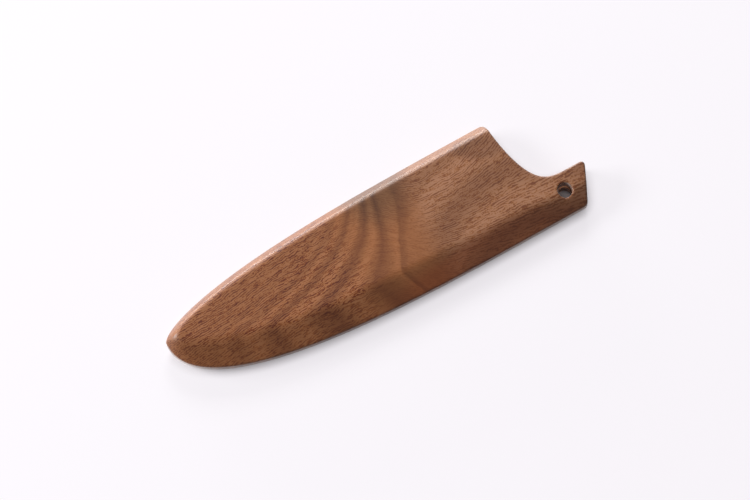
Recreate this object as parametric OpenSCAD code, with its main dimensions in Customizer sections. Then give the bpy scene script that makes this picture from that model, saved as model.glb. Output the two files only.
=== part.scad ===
// Wooden knife blade guard: two carved walnut side boards, glued to a core that is sawn out to the
// shape of the blade.
// The guard lies flat. +X runs from the tip to the mouth, +Y from the edge side to the spine side,
// +Z up. The origin is under the middle of the guard, on the surface that it lies on.

/* [Body] */
// Overall length, from the blunt nose to the end of the tongue
length = 189; // [182:0.5:205]
// Overall height, from the edge side to the spine side
height = 52; // [49:0.5:58]
// Overall thickness of the two side boards and the core
thickness = 13; // [11:0.25:16]
// Height of the upright land that the bevels leave on each side board, beside the core
land = 0.4; // [0.3:0.1:1.2]

/* [Plan outline] */
// Height of the nose above the edge side
nose_height = 35.2; // [31:0.1:38]
// Length over which the belly sweeps up from the straight edge side to the nose
belly_length = 156; // [125:1:165]
// Fullness of the belly along the guard
belly_fullness_x = 2.9; // [2.4:0.05:3.3]
// Fullness of the belly across the guard
belly_fullness_y = 2.45; // [2.2:0.05:2.8]
// Length over which the spine side curves down to the nose
spine_length = 157; // [135:1:158]
// Fullness of the spine curve along the guard
spine_fullness_x = 3.3; // [2.9:0.05:3.7]
// Fullness of the spine curve across the guard
spine_fullness_y = 1.65; // [1.55:0.05:1.9]

/* [Bevels] */
// Width of the shallow edge-side bevel at the end of the tongue
edge_bevel = 7.8; // [6:0.1:9]
// Angle at which the edge-side crease opens away from the edge, towards the tip
crease_angle = 3.1; // [2:0.1:4.5]
// Length over which that crease sweeps up to the nose
crease_sweep = 68; // [55:1:85]
// Fullness of that sweep
crease_fullness = 1.8; // [1.7:0.05:2.2]
// Width of the steep bevel along the spine side
spine_bevel = 3.5; // [3.2:0.1:5.2]
// Distance by which the flat faces stop short of the nose
nose_bevel = 4.5; // [3.5:0.1:6]
// Reach of the soft blend on each side of the edge-side crease
edge_blend = 1.7; // [1:0.1:3]
// Reach of the blend on each side of the spine-side crease
spine_blend = 1.4; // [0.8:0.1:2.2]
// Reach of both blends where they meet at the nose
nose_blend = 2.3; // [1.2:0.1:2.6]

/* [Mouth] */
// Length of the notch for the knife's neck, from its wall at the spine side to the tongue's end
notch_length = 27.8; // [25:0.1:31]
// Length over which the notch wall curves into the top of the tongue
notch_sweep = 22.6; // [18:0.2:24]
// Fullness of that curve along the guard
notch_fullness_x = 4.2; // [3:0.05:4.6]
// Fullness of that curve across the guard
notch_fullness_y = 1.6; // [1.5:0.05:2.2]
// Height of the tongue behind the blade's heel
tongue_height = 17.1; // [15.5:0.1:20]
// Slant of the tongue's end
tongue_slant = 25.5; // [15:0.5:28]
// Radius of the corner between the notch and the spine side
spine_corner = 2.2; // [1.5:0.1:3]
// Radius of the corner at the top of the tongue's end
tongue_corner = 1.5; // [1.2:0.1:2]
// Radius of the corner between the tongue's end and the edge side
heel_corner = 2.5; // [1.5:0.1:3.5]
// Width of the eased arris round the mouth
mouth_ease = 0.3; // [0.2:0.05:0.8]

/* [Core and blade pocket] */
// Thickness of the core, which is the width of the slot and takes a blade up to 2.5 mm thick
slot_width = 3.2; // [2.6:0.1:4]
// Width of the core's glued border, between the pocket and the outline
border = 6; // [5:0.1:6.2]

/* [Peg hole] */
// Diameter of the peg that the hole takes
peg_diameter = 6; // [5:0.1:6.5]
// Clearance round the peg, on the radius
peg_clearance = 0.1; // [0.05:0.01:0.3]
// Distance of the hole's centre from the end of the tongue
hole_inset = 13; // [12:0.1:15]
// Height of the hole's centre above the edge side
hole_height = 9.5; // [9.3:0.1:10.5]

/* [Hidden] */
// Stations along each side of the blank, close together at the nose
stations = 34;
// Points along the notch curve, and along a round corner of the mouth
notch_points = 22;
corner_points = 6;
// Length of wood beyond the tongue on the blank, cut away with the mouth
waste = 3;
// How quickly the ruled bevel turns square to the side behind the nose
fan = 6;
// Overlap by which a cutter passes the wood that it cuts
past = 2;
// The same overlap for the eased arris, short of the radius of the tongue's corner
ease_past = 0.2;
// Overshoot of the round corners over the sides, so that each one runs out in a clean edge
overshoot = 0.02;
$fn = 96;

half = thickness / 2;
glue_line = slot_width / 2;
rim = glue_line + land;
blank_length = length + waste;
wall_x = length - notch_length;

// Rise of a swept curve: 0 at the nose, 1 where it runs into the straight side
function rise(u, fx, fy) = pow(1 - pow(1 - min(max(u, 0), 1), fx), 1 / fy);

// The two sides of the outline
function edge_y(x) = nose_height * (1 - rise(x / belly_length, belly_fullness_x, belly_fullness_y));
function spine_y(x) =
    nose_height + (height - nose_height) * rise(x / spine_length, spine_fullness_x, spine_fullness_y);

// The two creases where the bevels meet the flat face
function crease_line(x) = edge_bevel + tan(crease_angle) * (length - x);
function edge_crease_y(x) =
    let (up = rise((x - nose_bevel) / crease_sweep, crease_fullness, crease_fullness))
    nose_height + (crease_line(x) - nose_height) * up;
function spine_crease_y(x) =
    let (up = rise((x - nose_bevel) / (spine_length - nose_bevel), spine_fullness_x, spine_fullness_y))
    nose_height + (height - spine_bevel - nose_height) * up;

// Station i runs from the mouth along the edge side to the nose at 0, and back along the spine side
function station_x(i) = blank_length * pow(abs(i) / stations, 2);
function crease_x(x) = x + nose_bevel * pow(1 - x / blank_length, fan);
function outline_point(i) = let (x = station_x(i)) [x, i < 0 ? edge_y(x) : spine_y(x)];
function crease_point(i) =
    let (x = crease_x(station_x(i)))
    [x, i < 0 ? edge_crease_y(x) : spine_crease_y(x)];
function blend(i) =
    let (along = i < 0 ? edge_blend : spine_blend)
    nose_blend + (along - nose_blend) * min(1, station_x(i) / crease_sweep);

// One point of a section: t is the place in the soft blend, -1 at its start, 0 at the crease, 1 on the flat
function section_point(i, t) =
    let (
        from = outline_point(i),
        to = crease_point(i),
        bevel = norm(to - from),
        reach = blend(i),
        run = bevel + t * reach,
        drop = (half - rim) * reach * pow(1 - t, 2) / (4 * bevel),
        place = from + (to - from) * run / bevel
    )
    [place[0], place[1], half - drop];

function ring(t) = [for (i = [stations:-1:-stations]) section_point(i, t)];
function upright(z) = [for (i = [stations:-1:-stations]) let (p = outline_point(i)) [p[0], p[1], z]];

// Faces that close a ring of n points, as one polygon or as a strip between its two sides
function one_face(n) = [[for (i = [0:n - 1]) i]];
function strip_faces(n) = [
    for (i = [0:(n - 3) / 2])
        each [[i, i + 1, n - 1 - i], if (i + 1 < n - 2 - i) [i + 1, n - 2 - i, n - 1 - i]]
];

// A solid from rings of equally many points, one above the other, closed by the given faces
module loft(rings, closing) {
    n = len(rings[0]);
    top = len(rings) - 1;
    sides = [
        for (k = [0:top - 1], i = [0:n - 1])
            let (a = k * n + i, b = k * n + (i + 1) % n)
            each [[a, b + n, b], [a, a + n, b + n]]
    ];
    roof = [for (face = closing) [for (i = [len(face) - 1:-1:0]) top * n + face[i]]];
    polyhedron(points = [for (r = rings) each r], faces = concat(closing, sides, roof));
}

// A side board with its bevels carved and the mouth not yet cut
module carved_board() {
    rings = [upright(glue_line), upright(rim), ring(-1), ring(-0.5), ring(0), ring(0.5), ring(1)];
    loft(rings, strip_faces(2 * stations + 1));
}

// Points of an arc, with the first and last angle
function arc(centre, r, from, to) = [
    for (k = [0:corner_points])
        let (a = from + (to - from) * k / corner_points)
        centre + r * [cos(a), sin(a)]
];

// The wood that the mouth cut leaves, with round corners, and larger than the blank elsewhere
tongue_end = length - tongue_corner;
heel_x = tongue_end + tongue_corner / cos(tongue_slant)
    - (tongue_height - tongue_corner - heel_corner) * tan(tongue_slant) - heel_corner / cos(tongue_slant);

function notch_point(k) =
    let (a = 90 * k / notch_points)
    [
        wall_x + notch_sweep * (1 - pow(cos(a), 2 / notch_fullness_x)),
        height - (height - tongue_height) * pow(sin(a), 2 / notch_fullness_y)
    ];

function mouth_outline() = concat(
    [[heel_x, -past]],
    arc([heel_x, heel_corner - overshoot], heel_corner, -90, -tongue_slant),
    arc([tongue_end, tongue_height - tongue_corner], tongue_corner, -tongue_slant, 90),
    [for (k = [notch_points:-1:2]) notch_point(k)],
    arc([wall_x - spine_corner, height - spine_corner + overshoot], spine_corner, 0, 90),
    [[wall_x - spine_corner, height + past]]
);

// The mouth outline drawn in by a distance, with the far side of the blank left free
function drawn_in(points, inset) = [
    for (k = [0:len(points) - 1])
        let (
            last = len(points) - 1,
            along = points[min(k + 1, last)] - points[max(k - 1, 0)],
            inward = [-along[1], along[0]] / norm(along)
        )
        points[k] + inset * inward
];

function mouth_plan(inset) =
    concat([[-past, -past]], drawn_in(mouth_outline(), inset), [[-past, height + past]]);
function mouth_ring(inset, z) = [for (p = mouth_plan(inset)) [p[0], p[1], z]];

module mouth_keep() {
    rings = [
        mouth_ring(0, -past),
        mouth_ring(0, half - mouth_ease),
        mouth_ring(mouth_ease + ease_past, half + ease_past)
    ];
    loft(rings, one_face(len(rings[0])));
}

// Plan of the whole blank, which the pocket follows
module blank_plan() {
    polygon([for (i = [-stations:stations]) outline_point(i)]);
}

// Plan of the blade pocket, open through the whole mouth
module pocket_plan() {
    offset(delta = -border)
        blank_plan();
    translate([wall_x, border])
        square([notch_length + waste + past, height - 2 * border]);
}

module peg_bore() {
    translate([length - hole_inset, hole_height, -half - past])
        cylinder(r = peg_diameter / 2 + peg_clearance, h = thickness + 2 * past);
}

// One side board of the guard, glue face down
module side_board() {
    difference() {
        intersection() {
            carved_board();
            mouth_keep();
        }
        peg_bore();
    }
}

module placed() {
    translate([-length / 2, -height / 2, half])
        children();
}

// Upper side board
module front_shell() {
    color("#96694b")
        placed()
            side_board();
}

// Border strip round the blade pocket, open at the mouth, and drilled with the boards
module core() {
    color("#8a6044")
        placed()
            difference() {
                translate([0, 0, -glue_line])
                    linear_extrude(slot_width)
                        difference() {
                            intersection() {
                                blank_plan();
                                polygon(mouth_plan(0));
                            }
                            pocket_plan();
                        }
                peg_bore();
            }
}

// Lower side board, the mirror image of the upper one
module back_shell() {
    color("#7a5238")
        placed()
            mirror([0, 0, 1])
                side_board();
}

front_shell();
core();
back_shell();
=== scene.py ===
import math

import bmesh
import bpy
from mathutils import Matrix, Vector
from mathutils.bvhtree import BVHTree


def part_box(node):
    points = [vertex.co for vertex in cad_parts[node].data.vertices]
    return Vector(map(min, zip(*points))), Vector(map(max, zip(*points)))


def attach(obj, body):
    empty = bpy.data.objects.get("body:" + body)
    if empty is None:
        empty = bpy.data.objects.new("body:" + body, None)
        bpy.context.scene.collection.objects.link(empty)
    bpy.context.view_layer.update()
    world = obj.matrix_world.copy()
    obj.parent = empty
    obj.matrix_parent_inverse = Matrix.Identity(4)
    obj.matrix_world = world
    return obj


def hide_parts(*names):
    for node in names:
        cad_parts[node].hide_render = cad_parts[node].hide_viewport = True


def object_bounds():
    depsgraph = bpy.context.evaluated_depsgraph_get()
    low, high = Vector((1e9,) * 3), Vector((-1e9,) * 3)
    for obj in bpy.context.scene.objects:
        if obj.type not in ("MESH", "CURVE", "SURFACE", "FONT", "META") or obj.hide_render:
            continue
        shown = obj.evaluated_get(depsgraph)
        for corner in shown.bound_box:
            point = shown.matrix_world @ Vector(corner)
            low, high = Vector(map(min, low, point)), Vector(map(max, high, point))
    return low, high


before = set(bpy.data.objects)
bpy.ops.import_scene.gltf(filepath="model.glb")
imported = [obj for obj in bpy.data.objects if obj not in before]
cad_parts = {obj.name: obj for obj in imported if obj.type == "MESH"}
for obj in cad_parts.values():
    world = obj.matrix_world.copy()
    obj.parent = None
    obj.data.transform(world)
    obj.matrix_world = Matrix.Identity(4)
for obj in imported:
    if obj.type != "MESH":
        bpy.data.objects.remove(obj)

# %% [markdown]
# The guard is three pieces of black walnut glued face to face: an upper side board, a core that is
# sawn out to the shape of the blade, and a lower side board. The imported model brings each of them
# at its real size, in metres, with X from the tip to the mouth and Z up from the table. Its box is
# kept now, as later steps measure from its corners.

MM = 0.001
CAD_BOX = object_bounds()
low, high = CAD_BOX
size = high - low
print("CAD box in mm:", [round(side / MM, 2) for side in size])

# %% Heights of the two glue lines and of the middle of the guard
middle = size.z / 2
glue_low, glue_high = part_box("core")[0].z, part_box("core")[1].z
print("glue lines at mm:", round(glue_low / MM, 2), round(glue_high / MM, 2))

# %% [markdown]
# The photograph looks down on a table at about 75 degrees, from far away, with the guard lying
# askew. The guard's frame is fixed, so the camera walks round it instead: its place and its aim are
# worked out from the angle between the guard's X axis and the bottom of the picture. A long lens
# from two metres keeps the sides nearly parallel, as they are in the photograph. The frame's width
# is how much of the table the picture spans, and it sets the scale.

# %% Camera
ELEVATION = math.radians(74.5)
TURN = math.radians(29.8)
DISTANCE = 2.0
FRAME_WIDTH = 0.312
AIM_MM = (0.74, 1.70, 6.5)
SENSOR = 36

rightward = Vector((math.cos(TURN), -math.sin(TURN), 0))
backward = Vector((math.sin(TURN), math.cos(TURN), 0))
upward = Vector((0, 0, 1))
to_camera = upward * math.sin(ELEVATION) - backward * math.cos(ELEVATION)

camera = bpy.data.objects.new("camera", bpy.data.cameras.new("camera"))
camera.data.sensor_width = SENSOR
camera.data.lens = SENSOR * DISTANCE / FRAME_WIDTH
camera.location = Vector(AIM_MM) * MM + to_camera * DISTANCE
camera.rotation_euler = (-to_camera).to_track_quat("-Z", "Y").to_euler()
bpy.context.scene.collection.objects.link(camera)
bpy.context.scene.camera = camera
print("camera lens in mm:", round(camera.data.lens, 1))

# %% [markdown]
# Colours are written as the hex values that a picture shows. Cycles works with light, so one
# function turns each value from sRGB to linear before it reaches a socket.

# %% Colours
def linear(hex_value):
    """An sRGB colour such as 'c8a078' as linear red, green, blue and alpha."""
    parts = [int(hex_value[k:k + 2], 16) / 255 for k in (0, 2, 4)]
    return tuple(p / 12.92 if p <= 0.04045 else ((p + 0.055) / 1.055) ** 2.4 for p in parts) + (1,)


print("mid grey in linear light:", round(linear("808080")[0], 3))

# %% [markdown]
# One small function adds a node to a material. It takes the kind of node, what goes into its
# sockets, and its settings, so that a material reads as a list of steps. What goes into a socket is
# a value, an earlier node, or one named output of an earlier node.

# %% Adding a node
def socket(sockets, key):
    """A socket by its number, or the one of that name that is in use."""
    if isinstance(key, int):
        return sockets[key]
    return next(s for s in sockets if s.enabled and s.name == key)


def add(tree, kind, inputs, **settings):
    """Adds a node of that kind, with its settings, its values and its links."""
    made = tree.nodes.new("ShaderNode" + kind)
    for name, value in settings.items():
        setattr(made, name, value)
    for key, value in inputs.items():
        if isinstance(value, bpy.types.Node):
            value = next(s for s in value.outputs if s.enabled)
        if isinstance(value, bpy.types.NodeSocket):
            tree.links.new(value, socket(made.inputs, key))
        else:
            socket(made.inputs, key).default_value = value
    return made


def new_material(name):
    """An empty material, and its node tree."""
    material = bpy.data.materials.new(name)
    material.use_nodes = True
    material.node_tree.nodes.clear()
    return material, material.node_tree


# %% [markdown]
# The table is a plain white sheet: one big square of matt white paint, which takes the guard's soft
# shadow. A product photograph is brightened until its table is nearly white, and that lifts the
# shadow too. More lamps would burn out the wood, so a share of what is seen of the paint shines by
# itself instead. Light Path gives that shine to the camera and to mirrored rays only, so it shows in
# the wood's gloss but doesn't light the wood. Ambient Occlusion measures how open the sky is over a
# point of the table: where the guard stands close, the shine goes, and the shadow stays under the
# sides and down in the peg hole.

# %% Table
TABLE_SIDE = 6.0
SHINING_SHARE = 0.8
SHADOW_REACH = 6 * MM
OPEN_IN_SHADOW, OPEN_ON_TABLE = 0.25, 0.93

table_white, tree = new_material("matt_white_table")
paint = add(tree, "BsdfPrincipled", {"Base Color": linear("e6e3e7"), "Roughness": 0.9,
                                     "Specular IOR Level": 0.1})
ray = add(tree, "LightPath", {})
seen = add(tree, "Math", {0: ray.outputs["Is Camera Ray"], 1: ray.outputs["Is Glossy Ray"]},
           operation="ADD")
seen = add(tree, "Math", {0: seen, 1: ray.outputs["Is Transmission Ray"]}, operation="ADD")
open_sky = add(tree, "AmbientOcclusion", {"Distance": SHADOW_REACH})
share = add(tree, "MapRange", {"Value": open_sky.outputs["AO"], "From Min": OPEN_IN_SHADOW,
                               "From Max": OPEN_ON_TABLE, "To Max": SHINING_SHARE})
share = add(tree, "Math", {0: seen, 1: share}, operation="MULTIPLY", use_clamp=True)
shine = add(tree, "Emission", {"Color": linear("fdf9fe"), "Strength": 1.0})
lifted = add(tree, "MixShader", {0: share, 1: paint, 2: shine})
add(tree, "OutputMaterial", {"Surface": lifted})

sheet = bmesh.new()
bmesh.ops.create_grid(sheet, x_segments=1, y_segments=1, size=TABLE_SIDE / 2)
table = bpy.data.objects.new("table", bpy.data.meshes.new("table"))
sheet.to_mesh(table.data)
sheet.free()
table.data.materials.append(table_white)
bpy.context.scene.collection.objects.link(table)
print("table in m:", TABLE_SIDE, "with material", table_white.name)

# %% [markdown]
# The photograph's light comes low, from behind and from the left. A wide window just above the table
# makes the steep spine bevel glare and skims the flat face. Two softboxes, behind and at the left,
# light the flat face and the nose, and leave the edge bevel dark. The room itself is dim. Light adds
# up, so each lamp was rendered by itself first. The powers started as the mix of those renders that
# came nearest to the brightness of each face in the photograph, and were then trimmed.

# %% Lights
LAMP_DISTANCE = 1.5
ROOM_LIGHT = 0.09


def soft_lamp(name, bearing, elevation, width, height, power):
    """An oblong lamp that faces the guard. Bearing runs from the picture's back towards its left."""
    lamp = bpy.data.objects.new(name, bpy.data.lights.new(name, "AREA"))
    lamp.data.shape = "RECTANGLE"
    lamp.data.size = width
    lamp.data.size_y = height
    lamp.data.energy = power
    lamp.visible_camera = False
    bearing, elevation = math.radians(bearing), math.radians(elevation)
    level_way = backward * math.cos(bearing) - rightward * math.sin(bearing)
    lamp.location = (level_way * math.cos(elevation) + upward * math.sin(elevation)) * LAMP_DISTANCE
    lamp.rotation_euler = (-lamp.location).to_track_quat("-Z", "Y").to_euler()
    bpy.context.scene.collection.objects.link(lamp)
    print(name, "shines with", power, "W")


soft_lamp("low_window", bearing=28, elevation=5, width=0.9, height=0.3, power=22)
soft_lamp("back_softbox", bearing=5, elevation=32, width=0.6, height=0.5, power=19)
soft_lamp("left_softbox", bearing=85, elevation=32, width=0.7, height=0.5, power=27)

world = bpy.data.worlds.new("dim_room")
bpy.context.scene.world = world
world.use_nodes = True
world.node_tree.nodes["Background"].inputs["Color"].default_value = linear("f4f4f8")
world.node_tree.nodes["Background"].inputs["Strength"].default_value = ROOM_LIGHT
bpy.context.scene.view_settings.view_transform = "Standard"

# %% [markdown]
# The three boards were glued up first and then carved and sanded as one block, so the surface runs
# across the glue lines without a step. The mesh is made in that order too. A copy of the upper
# board's CAD mesh is merged, its glue face is drawn down to the middle of the guard, and a mirror
# makes the whole block from it. A bevel on each arris would be the obvious way to soften it, but
# the arrises run into each other at slivers here. A fine voxel remesh and a few passes of smoothing
# round every arris by well under a millimetre instead, as sandpaper does.

# %% Small mesh helpers
NEAR = 0.01 * MM


def merged_copy(node):
    """A bmesh of a CAD node's mesh, with its loose triangles joined."""
    made = bmesh.new()
    made.from_mesh(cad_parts[node].data)
    bmesh.ops.remove_doubles(made, verts=made.verts, dist=NEAR / 2)
    return made


def everything(mesh_in_work):
    """All vertices, edges and faces of a bmesh, as the operators take them."""
    return mesh_in_work.verts[:] + mesh_in_work.edges[:] + mesh_in_work.faces[:]


def as_object(mesh_in_work, name):
    """Writes a bmesh into a new object at the origin, and frees it."""
    made = bpy.data.objects.new(name, bpy.data.meshes.new(name))
    mesh_in_work.to_mesh(made.data)
    mesh_in_work.free()
    bpy.context.scene.collection.objects.link(made)
    return made


def with_modifier(piece, kind, **settings):
    """Runs one modifier on a piece and keeps its result as the piece's mesh."""
    modifier = piece.modifiers.new(kind.lower(), kind)
    for name, value in settings.items():
        setattr(modifier, name, value)
    bpy.context.view_layer.update()
    depsgraph = bpy.context.evaluated_depsgraph_get()
    result = bpy.data.meshes.new_from_object(piece.evaluated_get(depsgraph))
    piece.modifiers.clear()
    piece.data = result


# %% The whole block, with no slot yet
block = merged_copy("front_shell")
glue_face = [f for f in block.faces if all(abs(v.co.z - glue_high) < NEAR for v in f.verts)]
bmesh.ops.delete(block, geom=glue_face, context="FACES")
lowest = [v for v in block.verts if abs(v.co.z - glue_high) < NEAR]
bmesh.ops.translate(block, verts=lowest, vec=(0, 0, middle - glue_high))
bmesh.ops.mirror(block, geom=everything(block), matrix=Matrix.Translation((0, 0, -middle)),
                 merge_dist=0, axis="Z")
bmesh.ops.remove_doubles(block, verts=block.verts, dist=NEAR / 2)
bmesh.ops.recalc_face_normals(block, faces=block.faces)
print("open edges of the block:", sum(not e.is_manifold for e in block.edges))

# %% The block, sanded
VOXEL = 0.35 * MM
SANDING_PASSES = 9

block = as_object(block, "block")
with_modifier(block, "REMESH", mode="VOXEL", voxel_size=VOXEL)
sanded = bmesh.new()
sanded.from_mesh(block.data)
for _ in range(SANDING_PASSES):
    bmesh.ops.smooth_vert(sanded, verts=sanded.verts, factor=0.5,
                          use_axis_x=True, use_axis_y=True, use_axis_z=True)
bpy.data.objects.remove(block)
print("faces of the sanded block:", len(sanded.faces))

# %% [markdown]
# A saw cut at each glue line parts the block into its three boards again. A bisect leaves an open
# cut, so the cut is filled, and its rim is marked sharp, because a smooth shade across it would
# draw a dark line that no glue line has.

# %% Parting the block at the glue lines
def layer(name, bottom, top):
    """The part of the sanded block between two heights, closed where it is cut."""
    made = sanded.copy()
    for height, side in ((top, "outer"), (bottom, "inner")):
        if height is None:
            continue
        cut = bmesh.ops.bisect_plane(made, geom=everything(made), dist=NEAR / 10,
                                     plane_co=(0, 0, height), plane_no=upward,
                                     clear_outer=side == "outer", clear_inner=side == "inner")
        rim = [e for e in cut["geom_cut"] if isinstance(e, bmesh.types.BMEdge)]
        bmesh.ops.triangle_fill(made, edges=rim, use_beauty=True, normal=upward)
        for edge in rim:
            edge.smooth = False
    bmesh.ops.recalc_face_normals(made, faces=made.faces)
    for face in made.faces:
        face.smooth = True
    piece = as_object(made, name)
    print(name, "has", len(piece.data.polygons), "faces")
    return piece


upper_board = layer("upper_board", glue_high, None)
core_layer = layer("core_strip", glue_low, glue_high)
lower_board = layer("lower_board", None, glue_low)
sanded.free()

# %% [markdown]
# The core is that middle layer with the blade's shape sawn out of it. The saw's path is already in
# the CAD core: it is the run of walls that look into the pocket. A short ray upwards tells them from
# the outside walls, because a step into the pocket is still under the upper board.

# %% The walls that the saw leaves round the pocket
STEP = 1 * MM
UPRIGHT_WITHIN = 0.5
STRAIGHT_WITHIN = math.radians(0.5)

roof_board = merged_copy("front_shell")
ceiling = BVHTree.FromBMesh(roof_board)
pocket = merged_copy("core")
pocket.normal_update()


def looks_into_pocket(face):
    """True for an upright wall of the core with the upper board over the space before it."""
    if abs(face.normal.z) > UPRIGHT_WITHIN:
        return False
    place = face.calc_center_median() + face.normal * STEP
    return ceiling.ray_cast(place, upward)[0] is not None


def is_upright(edge):
    """True for an edge that runs from the core's lower face to its upper face."""
    return abs(edge.verts[0].co.z - edge.verts[1].co.z) > STEP


others = [f for f in pocket.faces if not looks_into_pocket(f)]
bmesh.ops.delete(pocket, geom=others, context="FACES")
bmesh.ops.dissolve_limit(pocket, angle_limit=STRAIGHT_WITHIN, verts=pocket.verts, edges=pocket.edges)
ends = [e for e in pocket.edges if e.is_boundary and is_upright(e)]
roof_board.free()
print("walls of the pocket:", len(pocket.faces), "with open ends:", len(ends))

# %% [markdown]
# The run of walls is drawn out past the mouth, bridged there, made taller than the layer and closed
# above and below. That gives a block of air in the shape that the saw takes out, and an exact
# boolean takes it out of the layer. Its sides lie where the CAD core has them, to a hair.

# %% The core, sawn out
PAST = 10 * MM
TALLER = 1.5

drawn = bmesh.ops.extrude_edge_only(pocket, edges=ends)
tips = [g for g in drawn["geom"] if isinstance(g, bmesh.types.BMVert)]
for tip in tips:
    tip.co.x = high.x + PAST
tip_edges = [g for g in drawn["geom"] if isinstance(g, bmesh.types.BMEdge)
             and is_upright(g) and all(v in tips for v in g.verts)]
bmesh.ops.bridge_loops(pocket, edges=tip_edges)
for v in pocket.verts:
    v.co.z = middle + (v.co.z - middle) * TALLER
bmesh.ops.holes_fill(pocket, edges=[e for e in pocket.edges if e.is_boundary], sides=0)
bmesh.ops.recalc_face_normals(pocket, faces=pocket.faces)
print("open edges of the sawn-out block:", sum(not e.is_manifold for e in pocket.edges))

pocket_air = as_object(pocket, "pocket_air")
with_modifier(core_layer, "BOOLEAN", operation="DIFFERENCE", solver="EXACT", object=pocket_air)
bpy.data.objects.remove(pocket_air)
print("core has", len(core_layer.data.polygons), "faces")

# %% [markdown]
# Black walnut, planed, sanded and rubbed with oil: a mid brown with a soft sheen. Three things make
# it walnut to the eye. The growth rings show as soft bands that fan out from one place at the spine,
# where the tree had a swelling, and they turn where the bevels cut deeper into them. The pores show
# as short dark dashes along the grain. And the heartwood has a grey streak. An image of wood would
# slide over the bevels like wallpaper, so all of it is one solid pattern in real millimetres, read
# from Object coordinates: faces, bevels, sides and the slot are cuts through the same wood.
#
# A place in the wood is counted from the nose and from the edge side, and its depth from the nearer
# outer face. So the two side boards are book-matched, as boards are that were sawn from one and
# opened like a book. Real grain is never straight: a slow drift and a small shiver are added to the
# place before anything is drawn.

# %% Where a point lies in the wood
DRIFT_SPAN, DRIFT = 24, 4.5
SHIVER_SPAN, SHIVER = 3.5, 1.1


def in_the_wood(tree, board):
    """The place of a point in the board, in mm, plain and with the wander of the grain."""
    place = add(tree, "TexCoord", {})
    corner = (board["from_nose"] - low.x / MM, -low.y / MM, -middle / MM)
    real = add(tree, "Mapping", {"Vector": place.outputs["Object"], "Scale": (1 / MM,) * 3,
                                 "Location": corner})
    folded = add(tree, "VectorMath", {0: real}, operation="ABSOLUTE")
    real = add(tree, "SeparateXYZ", {0: real})
    depth = add(tree, "SeparateXYZ", {0: folded})
    depth = add(tree, "Math", {0: middle / MM, 1: depth.outputs["Z"]}, operation="SUBTRACT")
    straight = add(tree, "CombineXYZ", {"X": real.outputs["X"], "Y": real.outputs["Y"], "Z": depth})
    place = straight
    for span, reach in ((DRIFT_SPAN, DRIFT), (SHIVER_SPAN, SHIVER)):
        push = add(tree, "TexNoise", {"Vector": straight, "W": board["seed"], "Scale": 1 / span,
                                      "Detail": 1.0}, noise_dimensions="4D")
        push = add(tree, "VectorMath", {0: push.outputs["Color"], 1: (0.5,) * 3}, operation="SUBTRACT")
        place = add(tree, "VectorMath", {0: push, 1: (reach,) * 3, 2: place}, operation="MULTIPLY_ADD")
    place = add(tree, "SeparateXYZ", {0: place})
    return {"straight": straight, "depth": depth, "x": place.outputs["X"], "y": place.outputs["Y"]}


# %% [markdown]
# The bands hang from the swelling like the ribs of a fan. Just below it they run nearly straight
# down, and further down they sweep away towards the tip. So a band is named by how far a point is to
# the side of the swelling, divided by a width that grows with the cube of its distance below it. A
# ring also leans as it goes down through the board. That makes the bands turn at the crease, where
# the edge bevel cuts deeper and deeper, and run back towards the mouth.
#
# On the mouth's side of the fan the bands run together towards the edge instead of spreading. There
# the way past one chosen band is divided by the room that is left above a pinch near the edge. Past
# the last dark band the number soon stands still, and so the bands end.

# %% The numbers of the fan
SWELLING = (108, 58)
FAN_WAIST, FAN_SPREAD, FAN_POWER = 5.0, 14.3, 3.0
LEAN, LEAN_GROWTH = 2.0, 0.17
TURN_AT, SQUEEZE, PINCH, LEAST_ROOM = 0.33, 0.86, 8.5, 14.0
BAND_POWER = 0.6
LAST_DARK, LAST_GAP, LAST_SLOPE = 0.05, 0.3, 0.6
FADES, FADED = (1.3, 3.2), 0.15
print("the fan's width at the edge side in mm:",
      round(FAN_WAIST + (SWELLING[1] / FAN_SPREAD) ** FAN_POWER, 1))


# %% Which band of the fan a point lies on
def fan_width(tree, wood):
    """The distance in mm that counts as 1 in a band's number."""
    below = add(tree, "Math", {0: SWELLING[1], 1: wood["y"]}, operation="SUBTRACT")
    below = add(tree, "Math", {0: below, 1: FAN_SPREAD}, operation="DIVIDE")
    below = add(tree, "Math", {0: below, 1: FAN_POWER}, operation="POWER")
    return add(tree, "Math", {0: below, 1: FAN_WAIST}, operation="ADD")


def squeezed(tree, wood, number, width):
    """The number with what lies on the mouth's side of TURN_AT run together towards the edge."""
    behind = add(tree, "Math", {0: TURN_AT, 1: number}, operation="SUBTRACT")
    behind = add(tree, "Math", {0: behind, 1: 0.0}, operation="MAXIMUM")
    behind = add(tree, "Math", {0: behind, 1: width}, operation="MULTIPLY")
    room = add(tree, "Math", {0: wood["y"], 1: PINCH}, operation="SUBTRACT")
    room = add(tree, "Math", {0: room, 1: SQUEEZE}, operation="MULTIPLY")
    room = add(tree, "Math", {0: room, 1: LEAST_ROOM}, operation="MAXIMUM")
    behind = add(tree, "Math", {0: behind, 1: room}, operation="DIVIDE")
    ahead = add(tree, "Math", {0: number, 1: TURN_AT}, operation="MAXIMUM")
    return add(tree, "Math", {0: ahead, 1: behind}, operation="SUBTRACT")


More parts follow.
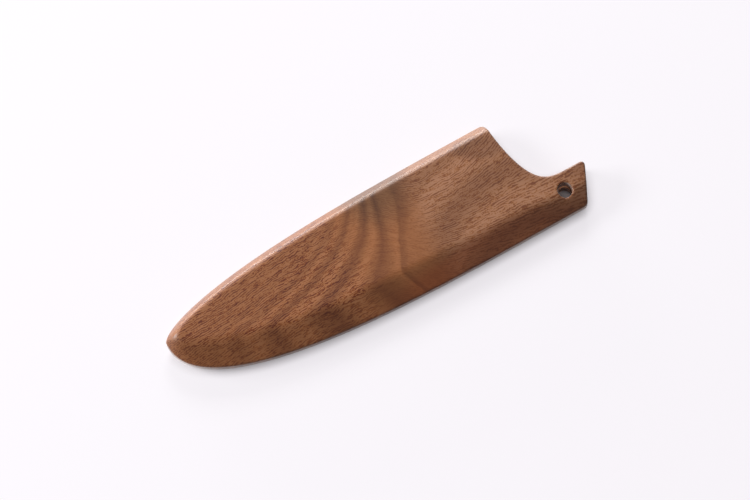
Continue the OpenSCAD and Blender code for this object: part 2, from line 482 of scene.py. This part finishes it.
def fan_band(tree, wood):
    """The number of the band, near 0 straight below the swelling, and how strong the band is."""
    side = add(tree, "Math", {0: SWELLING[0], 1: wood["x"]}, operation="SUBTRACT")
    side = add(tree, "Math", {0: wood["depth"], 1: LEAN, 2: side}, operation="MULTIPLY_ADD")
    growth = add(tree, "Math", {0: wood["depth"], 1: LEAN_GROWTH, 2: 1.0}, operation="MULTIPLY_ADD")
    side = add(tree, "Math", {0: side, 1: growth}, operation="MULTIPLY")
    width = fan_width(tree, wood)
    number = add(tree, "Math", {0: side, 1: width}, operation="DIVIDE")
    number = squeezed(tree, wood, number, width)

    over = add(tree, "Math", {0: number, 1: LAST_DARK}, operation="SUBTRACT")
    over = add(tree, "Math", {0: over, 1: 0.0}, operation="MINIMUM")
    over = add(tree, "Math", {0: over, 1: -LAST_GAP}, operation="MAXIMUM")
    number = add(tree, "Math", {0: number, 1: LAST_DARK}, operation="MAXIMUM")
    number = add(tree, "Math", {0: number, 1: BAND_POWER}, operation="POWER")
    number = add(tree, "Math", {0: over, 1: LAST_SLOPE, 2: number}, operation="MULTIPLY_ADD")
    strength = add(tree, "MapRange", {"Value": number, "From Min": FADES[0], "From Max": FADES[1],
                                      "To Min": 1.0, "To Max": FADED}, interpolation_type="SMOOTHSTEP")
    return number, strength


# %% [markdown]
# Rings are never alike: good years are wide and dry ones narrow. So the light of a band is a soft
# even wave with an uneven noise over it, both read along the band number. From the swelling to the
# mouth the same two are read at the distance from a point below the mouth instead, which draws
# long flat arcs, and these arcs too move as the bevels cut deeper.

# %% Growth rings
BAND_STEP, FIRST_BAND = 0.55, 1.0
WAVE, UNEVEN, UNEVEN_PER_BAND = 0.34, 0.8, 2.5
ARC_CENTRE = (153, -17)
ARC_STEP, FIRST_ARC, ARC_SEED = 25, 33, 7.0
ARC_LEAN, ARC_STRENGTH = -1.5, 0.8
FAN_TO_ARCS = (110, 126)


def bands_along(tree, line, step, first, seed):
    """Soft bands along a line of numbers: 0 about the mean, one wave a step, bright at the first."""
    turn = add(tree, "Math", {0: line, 1: first}, operation="SUBTRACT")
    turn = add(tree, "Math", {0: turn, 1: math.tau / step}, operation="MULTIPLY")
    wave = add(tree, "Math", {0: turn}, operation="COSINE")
    wave = add(tree, "Math", {0: wave, 1: WAVE}, operation="MULTIPLY")
    along = add(tree, "Math", {0: line, 1: seed}, operation="ADD")
    uneven = add(tree, "TexNoise", {"W": along, "Scale": UNEVEN_PER_BAND / step, "Detail": 1.0},
                 noise_dimensions="1D")
    uneven = add(tree, "Math", {0: uneven, 1: 0.5}, operation="SUBTRACT")
    return add(tree, "Math", {0: uneven, 1: UNEVEN, 2: wave}, operation="MULTIPLY_ADD")


def rings(tree, wood, board):
    """The light of the growth rings, 0 about the mean, and how much of it is the arcs."""
    number, strength = fan_band(tree, wood)
    fan = bands_along(tree, number, BAND_STEP, FIRST_BAND, board["seed"])
    fan = add(tree, "Math", {0: fan, 1: strength}, operation="MULTIPLY")
    away = add(tree, "CombineXYZ", {"X": wood["x"], "Y": wood["y"]})
    away = add(tree, "VectorMath", {0: away, 1: (*ARC_CENTRE, 0)}, operation="DISTANCE")
    away = add(tree, "Math", {0: wood["depth"], 1: ARC_LEAN, 2: away.outputs["Value"]},
               operation="MULTIPLY_ADD")
    arcs = bands_along(tree, away, ARC_STEP, FIRST_ARC, ARC_SEED + board["seed"])
    arcs = add(tree, "Math", {0: arcs, 1: ARC_STRENGTH}, operation="MULTIPLY")
    to_mouth = add(tree, "MapRange", {"Value": wood["x"], "From Min": FAN_TO_ARCS[0],
                                      "From Max": FAN_TO_ARCS[1]}, interpolation_type="SMOOTHSTEP")
    return add(tree, "Mix", {"Factor": to_mouth, "A": fan, "B": arcs}), to_mouth


# %% [markdown]
# Pores and fibres follow the grain. A point's thread is the line of grain that it lies on: nearly
# level at the nose, bent down past the swelling, and spread a little towards the mouth. Between the
# tip and the swelling the grain is curly, so there the threads wave, and what is drawn along them
# breaks up.

# %% Threads of grain
DIVE, DIVE_AT, DIVE_OVER = 11.5, 108, 12
SPREAD_FROM, SPREAD_BY, SPREAD_ABOUT = 125, 0.0075, 28
SLOPE = 0.08
CURL_SPAN = 2.6
CURL_RISES, CURL = (30, 75), 1.5
CURL_FALLS, CURL_LEFT = (112, 126), 0.25


def threads(tree, wood):
    """Where a point lies along its thread of grain, and across the threads, in mm."""
    bend = add(tree, "Math", {0: wood["x"], 1: DIVE_AT}, operation="SUBTRACT")
    bend = add(tree, "Math", {0: bend, 1: DIVE_OVER}, operation="DIVIDE")
    bend = add(tree, "Math", {0: bend}, operation="TANH")
    spread = add(tree, "Math", {0: wood["x"], 1: SPREAD_FROM}, operation="SUBTRACT")
    spread = add(tree, "Math", {0: spread, 1: 0.0}, operation="MAXIMUM")
    spread = add(tree, "Math", {0: spread, 1: -SPREAD_BY, 2: 1.0}, operation="MULTIPLY_ADD")
    across = add(tree, "Math", {0: wood["y"], 1: SPREAD_ABOUT}, operation="SUBTRACT")
    across = add(tree, "Math", {0: across, 1: spread}, operation="MULTIPLY")
    across = add(tree, "Math", {0: bend, 1: DIVE, 2: across}, operation="MULTIPLY_ADD")
    across = add(tree, "Math", {0: wood["x"], 1: -SLOPE, 2: across}, operation="MULTIPLY_ADD")

    rise = add(tree, "MapRange", {"Value": wood["x"], "From Min": CURL_RISES[0],
                                  "From Max": CURL_RISES[1], "To Max": CURL},
               interpolation_type="SMOOTHSTEP")
    fall = add(tree, "MapRange", {"Value": wood["x"], "From Min": CURL_FALLS[0],
                                  "From Max": CURL_FALLS[1], "To Min": 1.0, "To Max": CURL_LEFT},
               interpolation_type="SMOOTHSTEP")
    strength = add(tree, "Math", {0: rise, 1: fall}, operation="MULTIPLY")
    curl = add(tree, "TexNoise", {"Vector": wood["straight"], "Scale": 1 / CURL_SPAN, "Detail": 1.0})
    curl = add(tree, "Math", {0: curl, 1: 0.5}, operation="SUBTRACT")
    across = add(tree, "Math", {0: curl, 1: strength, 2: across}, operation="MULTIPLY_ADD")
    return add(tree, "CombineXYZ", {"X": wood["x"], "Y": across, "Z": wood["depth"]})


# %% [markdown]
# Walnut's pores are fine tubes, cut open along the surface. A noise that is long along the thread
# and thin across it draws them, and coarser and finer ones add the fibres and the specks between.
# Noise alone looks like fur, because real pores stand in loose rows. So a wave across the threads
# lays them in rows, a slow noise shakes the rows, and another breaks them up into dashes. Real pores
# are only 0.1 to 0.2 mm wide. That is less than half a pixel in this picture, so they are drawn
# 0.4 mm wide, as coarse as they need to show.

# %% Fibres, pores and specks
FIBRES = {"length": 14.0, "width": 1.5, "detail": 2.0, "strength": 2.0}
PORES = {"length": 3.8, "width": 0.42, "detail": 1.0, "strength": 4.0}
SPECKS = {"length": 0.8, "width": 0.4, "detail": 0.0, "strength": 2.0}
DASHES = {"length": 6.5, "width": 1.0, "detail": 1.0, "strength": 0.68}
DASH_STARTS, DASH_FULL = 0.36, 0.56
ROW, ROW_SHAKE, ROW_SHAKE_SPAN = 0.84, 6.0, 7.0
DARKEST, LIGHTEST = 0.3, 1.14


def drawn_out(tree, thread, marks):
    """A noise drawn out along the threads, about 0.5."""
    shape = (1 / marks["length"], 1 / marks["width"], 1 / marks["width"])
    drawn = add(tree, "VectorMath", {0: thread, 1: shape}, operation="MULTIPLY")
    return add(tree, "TexNoise", {"Vector": drawn, "Scale": 1.0, "Detail": marks["detail"]})


def rows_of_dashes(tree, thread):
    """Pores in rows along the threads, broken up into dashes, from -1 to 1."""
    across = add(tree, "SeparateXYZ", {0: thread})
    shake = add(tree, "TexNoise", {"Vector": thread, "Scale": 1 / ROW_SHAKE_SPAN, "Detail": 1.0})
    turn = add(tree, "Math", {0: across.outputs["Y"], 1: math.tau / ROW}, operation="MULTIPLY")
    turn = add(tree, "Math", {0: shake, 1: ROW_SHAKE, 2: turn}, operation="MULTIPLY_ADD")
    rows = add(tree, "Math", {0: turn}, operation="SINE")
    dash = add(tree, "MapRange", {"Value": drawn_out(tree, thread, DASHES), "From Min": DASH_STARTS,
                                  "From Max": DASH_FULL}, interpolation_type="SMOOTHSTEP")
    return add(tree, "Math", {0: rows, 1: dash}, operation="MULTIPLY")


def marks_of_the_grain(tree, thread):
    """How light the wood is between its pores and fibres: 1 about the mean, less in a pore."""
    rows = rows_of_dashes(tree, thread)
    light = add(tree, "Math", {0: rows, 1: DASHES["strength"], 2: 1.0}, operation="MULTIPLY_ADD")
    for marks in (FIBRES, PORES, SPECKS):
        drawn = add(tree, "Math", {0: drawn_out(tree, thread, marks), 1: 0.5}, operation="SUBTRACT")
        light = add(tree, "Math", {0: drawn, 1: marks["strength"], 2: light}, operation="MULTIPLY_ADD")
    return add(tree, "Clamp", {"Value": light, "Min": DARKEST, "Max": LIGHTEST})


print("pores in mm:", PORES["length"], "x", PORES["width"], "in rows", ROW, "apart")

# %% [markdown]
# The marks aren't equally plain everywhere. They are strong at the tip, calm in the strip below the
# swelling, where the fan's bands are smooth, and plainer again towards the mouth. On the bevels and
# sides, which cut the pores short, they are fainter. Walnut holds back blue light most and red light
# least. So a pore isn't a grey line but a red-brown one, and the marks go into green and blue with a
# higher power than into red.

# %% How the marks tint the wood
CALM_FROM, CALM = (76, 92), 0.35
CALM_TO, LIVELIER = (112, 124), 0.4
FACE_DEPTH, BEVEL_DEPTH, ON_BEVELS = 0.2, 1.5, 0.7
DEEPENS = {"Red": 0.85, "Green": 1.7, "Blue": 3.8}


def how_lively(tree, wood):
    """How plainly the marks show at a point, from 0 to 1."""
    calming = add(tree, "MapRange", {"Value": wood["x"], "From Min": CALM_FROM[0],
                                     "From Max": CALM_FROM[1], "To Min": 1.0, "To Max": CALM},
                  interpolation_type="SMOOTHSTEP")
    rousing = add(tree, "MapRange", {"Value": wood["x"], "From Min": CALM_TO[0],
                                     "From Max": CALM_TO[1], "To Max": LIVELIER},
                  interpolation_type="SMOOTHSTEP")
    lively = add(tree, "Math", {0: calming, 1: rousing}, operation="ADD")
    on_face = add(tree, "MapRange", {"Value": wood["depth"], "From Min": FACE_DEPTH,
                                     "From Max": BEVEL_DEPTH, "To Min": 1.0, "To Max": ON_BEVELS})
    return add(tree, "Math", {0: lively, 1: on_face}, operation="MULTIPLY")


def tint_of_marks(tree, thread):
    """The colour that the marks multiply the wood with."""
    light = marks_of_the_grain(tree, thread)
    tint = {channel: add(tree, "Math", {0: light, 1: power}, operation="POWER")
            for channel, power in DEEPENS.items()}
    return add(tree, "CombineColor", tint)


# %% [markdown]
# Over the rings lie a few broad patches of another tone: the grey streak at the swelling, a dark
# corner at the mouth's spine side, and a warmer tint over the half with the tip. A darker, redder
# patch along the edge bevel is painted shade: that bevel faces away from the lamps, and the patch
# takes back the pale haze that the sheen puts on it. Each patch is an oval with a soft rim, and it
# multiplies the colour with its tint. RIM and FULL say at what share of its reach a patch ends and
# from where inwards it is full.

# %% Streaks in the heartwood, and painted shade along the edge bevel
GREY_STREAK = {"tint": "c0c9d0", "centre": (106, 58), "reach": (18, 27), "slant": 0.0}
DARK_CORNER = {"tint": "d8d0c8", "centre": (154, 43), "reach": (12, 6), "slant": 0.4}
# The patch along the edge bevel is painted shade: a darker, redder tint for a bevel that faces away
# from the lamps and catches the sheen's haze.
PAINTED_EDGE_SHADE = {"tint": "f2d6c4", "centre": (135, 2), "reach": (52, 9), "slant": 0.0}
WARM_TIP = "f6e2c0"
RIM, FULL = 1.15, 0.5


def inside_streak_or_shade(tree, wood, streak_or_shade):
    """1 in the middle of a streak of the wood or of a patch of painted shade, 0 outside it."""
    away = add(tree, "CombineXYZ", {"X": wood["x"], "Y": wood["y"]})
    away = add(tree, "VectorMath", {0: away, 1: (*streak_or_shade["centre"], 0)}, operation="SUBTRACT")
    away = add(tree, "SeparateXYZ", {0: away})
    slanted = add(tree, "Math", {0: away.outputs["X"], 1: streak_or_shade["slant"], 2: away.outputs["Y"]},
                  operation="MULTIPLY_ADD")
    away = add(tree, "CombineXYZ", {"X": away.outputs["X"], "Y": slanted})
    along, over = streak_or_shade["reach"]
    away = add(tree, "VectorMath", {0: away, 1: (1 / along, 1 / over, 0)}, operation="MULTIPLY")
    away = add(tree, "VectorMath", {0: away}, operation="LENGTH")
    return add(tree, "MapRange", {"Value": away.outputs["Value"], "From Min": RIM, "From Max": FULL},
               interpolation_type="SMOOTHSTEP")


# %% [markdown]
# The finish is a wiping oil: it soaks in and leaves no film, so the specular level stays at its
# default, and the roughness is that of a satin surface. Sanding leaves a nap of very fine fibre
# ends. Seen from above it is hardly there, but along a steep face, such as the spine bevel, it gives
# a pale haze in the low light, and sheen draws that. Its weight is set for the photograph's view.
# From a camera low over the table the whole face takes the haze, and more of it than real walnut
# would: there a weight of a third or less is the one to try.

# %% The walnut, whole
LATE_WOOD, HEARTWOOD, EARLY_WOOD = "734628", "875938", "996846"
SATIN = 0.42
NAP, NAP_ROUGHNESS = 0.9, 0.4


def walnut(name, board):
    """Oiled black walnut for one board."""
    material, tree = new_material(name)
    wood = in_the_wood(tree, board)
    light, to_mouth = rings(tree, wood, board)

    ramp = add(tree, "ValToRGB", {"Fac": add(tree, "Math", {0: light, 1: 0.5}, operation="ADD")})
    stops = ramp.color_ramp.elements
    stops[0].position, stops[0].color = 0.0, linear(LATE_WOOD)
    stops[1].position, stops[1].color = 1.0, linear(EARLY_WOOD)
    stops.new(0.5).color = linear(HEARTWOOD)

    to_tip = add(tree, "Math", {0: 1.0, 1: to_mouth}, operation="SUBTRACT")
    tints = [(to_tip, linear(WARM_TIP))]
    # The patch along the edge bevel is painted shade, not a tone of the wood.
    for streak_or_shade in (GREY_STREAK, DARK_CORNER, PAINTED_EDGE_SHADE):
        tints.append((inside_streak_or_shade(tree, wood, streak_or_shade), linear(streak_or_shade["tint"])))
    tints.append((how_lively(tree, wood), tint_of_marks(tree, threads(tree, wood))))
    colour = ramp
    for share, tint in tints:
        colour = add(tree, "Mix", {"Factor": share, "A": colour, "B": tint},
                     data_type="RGBA", blend_type="MULTIPLY")

    oiled = add(tree, "BsdfPrincipled", {"Base Color": colour, "Roughness": SATIN,
                                         "Sheen Weight": NAP, "Sheen Roughness": NAP_ROUGHNESS})
    add(tree, "OutputMaterial", {"Surface": oiled})
    print(name, "has", len(tree.nodes), "nodes")
    return material


# %% [markdown]
# The side boards come from the same place in the tree. The core is a strip from further along, with
# other rings, and the seed lets the two side boards differ a little, as two sawn faces do.

# %% Each board gets its wood
BOARDS = {
    "upper_board": {"from_nose": 0, "seed": 0.0},
    "core_strip": {"from_nose": 40, "seed": 5.0},
    "lower_board": {"from_nose": 0, "seed": 0.4},
}
for piece in (upper_board, core_layer, lower_board):
    piece.data.materials.clear()
    piece.data.materials.append(walnut("oiled_black_walnut_" + piece.name, BOARDS[piece.name]))

# %% [markdown]
# The glue joints are fixed, so all three pieces ride on one body. Each takes the place of its CAD
# node, which is hidden.

# %% Each piece rides on the guard and stands for its CAD node
for piece, node, slot in (
    (upper_board, "front_shell", "front_walnut"),
    (core_layer, "core", "core_walnut"),
    (lower_board, "back_shell", "back_walnut"),
):
    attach(piece, "root")
    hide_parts(node)
    print(piece.name, "stands for", node)
